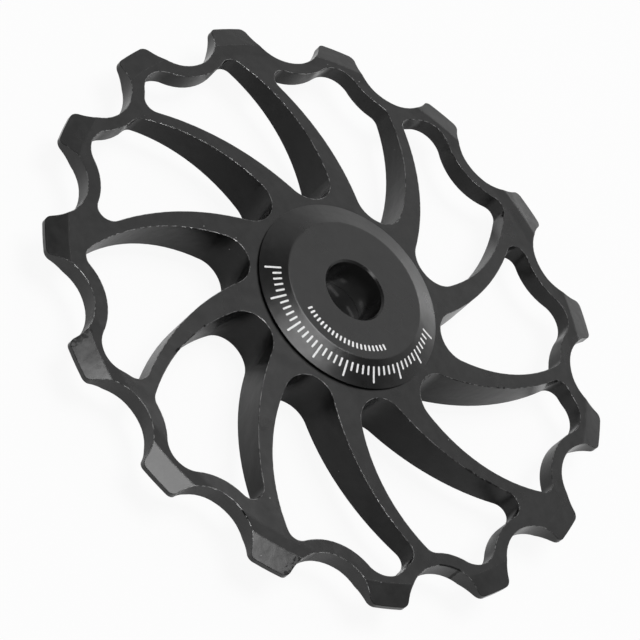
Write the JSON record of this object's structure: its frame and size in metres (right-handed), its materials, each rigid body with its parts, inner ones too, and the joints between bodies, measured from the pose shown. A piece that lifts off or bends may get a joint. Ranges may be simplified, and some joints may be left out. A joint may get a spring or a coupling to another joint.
{
  "type": "derailleur jockey wheel",
  "caption": "Toothed aluminium jockey wheel with curved, swirling spokes, a wavy rim and coned hub caps over a sealed ball bearing; it guides the chain through a rear derailleur.",
  "frame": {"origin": "centre of the axle bore at the middle of the wheel's width", "axes": "+Z along the axle, out of the front cap; +X through the middle of one tooth"},
  "size_m": [0.0601, 0.0604, 0.008],
  "materials": {
    "wheel_anodised": "black anodised, satin",
    "cap_anodised": "black anodised, satin",
    "bearing_steel": "ground steel",
    "ball_ceramic": "polished ceramic",
    "cage_plastic": "moulded nylon",
    "seal_rubber": "moulded rubber"
  },
  "bodies": {
    "hub": {"front_cap": "cap_anodised", "rear_cap": "cap_anodised", "bearing_inner_ring": "bearing_steel"},
    "wheel": {"wheel_body": "wheel_anodised", "bearing_outer_ring": "bearing_steel", "front_seal": "seal_rubber", "rear_seal": "seal_rubber"},
    "cage": {"ball_cage": "cage_plastic"},
    "ball_1": {"ball_1": "ball_ceramic"},
    "ball_2": {"ball_2": "ball_ceramic"},
    "ball_3": {"ball_3": "ball_ceramic"},
    "ball_4": {"ball_4": "ball_ceramic"},
    "ball_5": {"ball_5": "ball_ceramic"},
    "ball_6": {"ball_6": "ball_ceramic"},
    "ball_7": {"ball_7": "ball_ceramic"},
    "ball_8": {"ball_8": "ball_ceramic"},
    "ball_9": {"ball_9": "ball_ceramic"}
  },
  "joints": [
    {"name": "wheel_spin", "type": "hinge", "parent": "hub", "child": "wheel", "pos_m": [0, 0, 0], "axis": [0, 0, 1], "continuous": true},
    {"name": "cage_spin", "type": "hinge", "parent": "hub", "child": "cage", "pos_m": [0, 0, 0], "axis": [0, 0, 1], "continuous": true},
    {"name": "ball_1_spin", "type": "hinge", "parent": "cage", "child": "ball_1", "pos_m": [0.006, 0, 0], "axis": [0, 0, 1], "continuous": true},
    {"name": "ball_2_spin", "type": "hinge", "parent": "cage", "child": "ball_2", "pos_m": [0.0046, 0.00386, 0], "axis": [0, 0, 1], "continuous": true},
    {"name": "ball_3_spin", "type": "hinge", "parent": "cage", "child": "ball_3", "pos_m": [0.00104, 0.00591, 0], "axis": [0, 0, 1], "continuous": true},
    {"name": "ball_4_spin", "type": "hinge", "parent": "cage", "child": "ball_4", "pos_m": [-0.003, 0.0052, 0], "axis": [0, 0, 1], "continuous": true},
    {"name": "ball_5_spin", "type": "hinge", "parent": "cage", "child": "ball_5", "pos_m": [-0.00564, 0.00205, 0], "axis": [0, 0, 1], "continuous": true},
    {"name": "ball_6_spin", "type": "hinge", "parent": "cage", "child": "ball_6", "pos_m": [-0.00564, -0.00205, 0], "axis": [0, 0, 1], "continuous": true},
    {"name": "ball_7_spin", "type": "hinge", "parent": "cage", "child": "ball_7", "pos_m": [-0.003, -0.0052, 0], "axis": [0, 0, 1], "continuous": true},
    {"name": "ball_8_spin", "type": "hinge", "parent": "cage", "child": "ball_8", "pos_m": [0.00104, -0.00591, 0], "axis": [0, 0, 1], "continuous": true},
    {"name": "ball_9_spin", "type": "hinge", "parent": "cage", "child": "ball_9", "pos_m": [0.0046, -0.00386, 0], "axis": [0, 0, 1], "continuous": true}
  ],
  "couplings": [
    {"joint": "cage_spin", "follows": "wheel_spin", "ratio": 0.59921},
    {"joint": "ball_1_spin", "follows": "wheel_spin", "ratio": 2.4207},
    {"joint": "ball_2_spin", "follows": "wheel_spin", "ratio": 2.4207},
    {"joint": "ball_3_spin", "follows": "wheel_spin", "ratio": 2.4207},
    {"joint": "ball_4_spin", "follows": "wheel_spin", "ratio": 2.4207},
    {"joint": "ball_5_spin", "follows": "wheel_spin", "ratio": 2.4207},
    {"joint": "ball_6_spin", "follows": "wheel_spin", "ratio": 2.4207},
    {"joint": "ball_7_spin", "follows": "wheel_spin", "ratio": 2.4207},
    {"joint": "ball_8_spin", "follows": "wheel_spin", "ratio": 2.4207},
    {"joint": "ball_9_spin", "follows": "wheel_spin", "ratio": 2.4207}
  ]
}
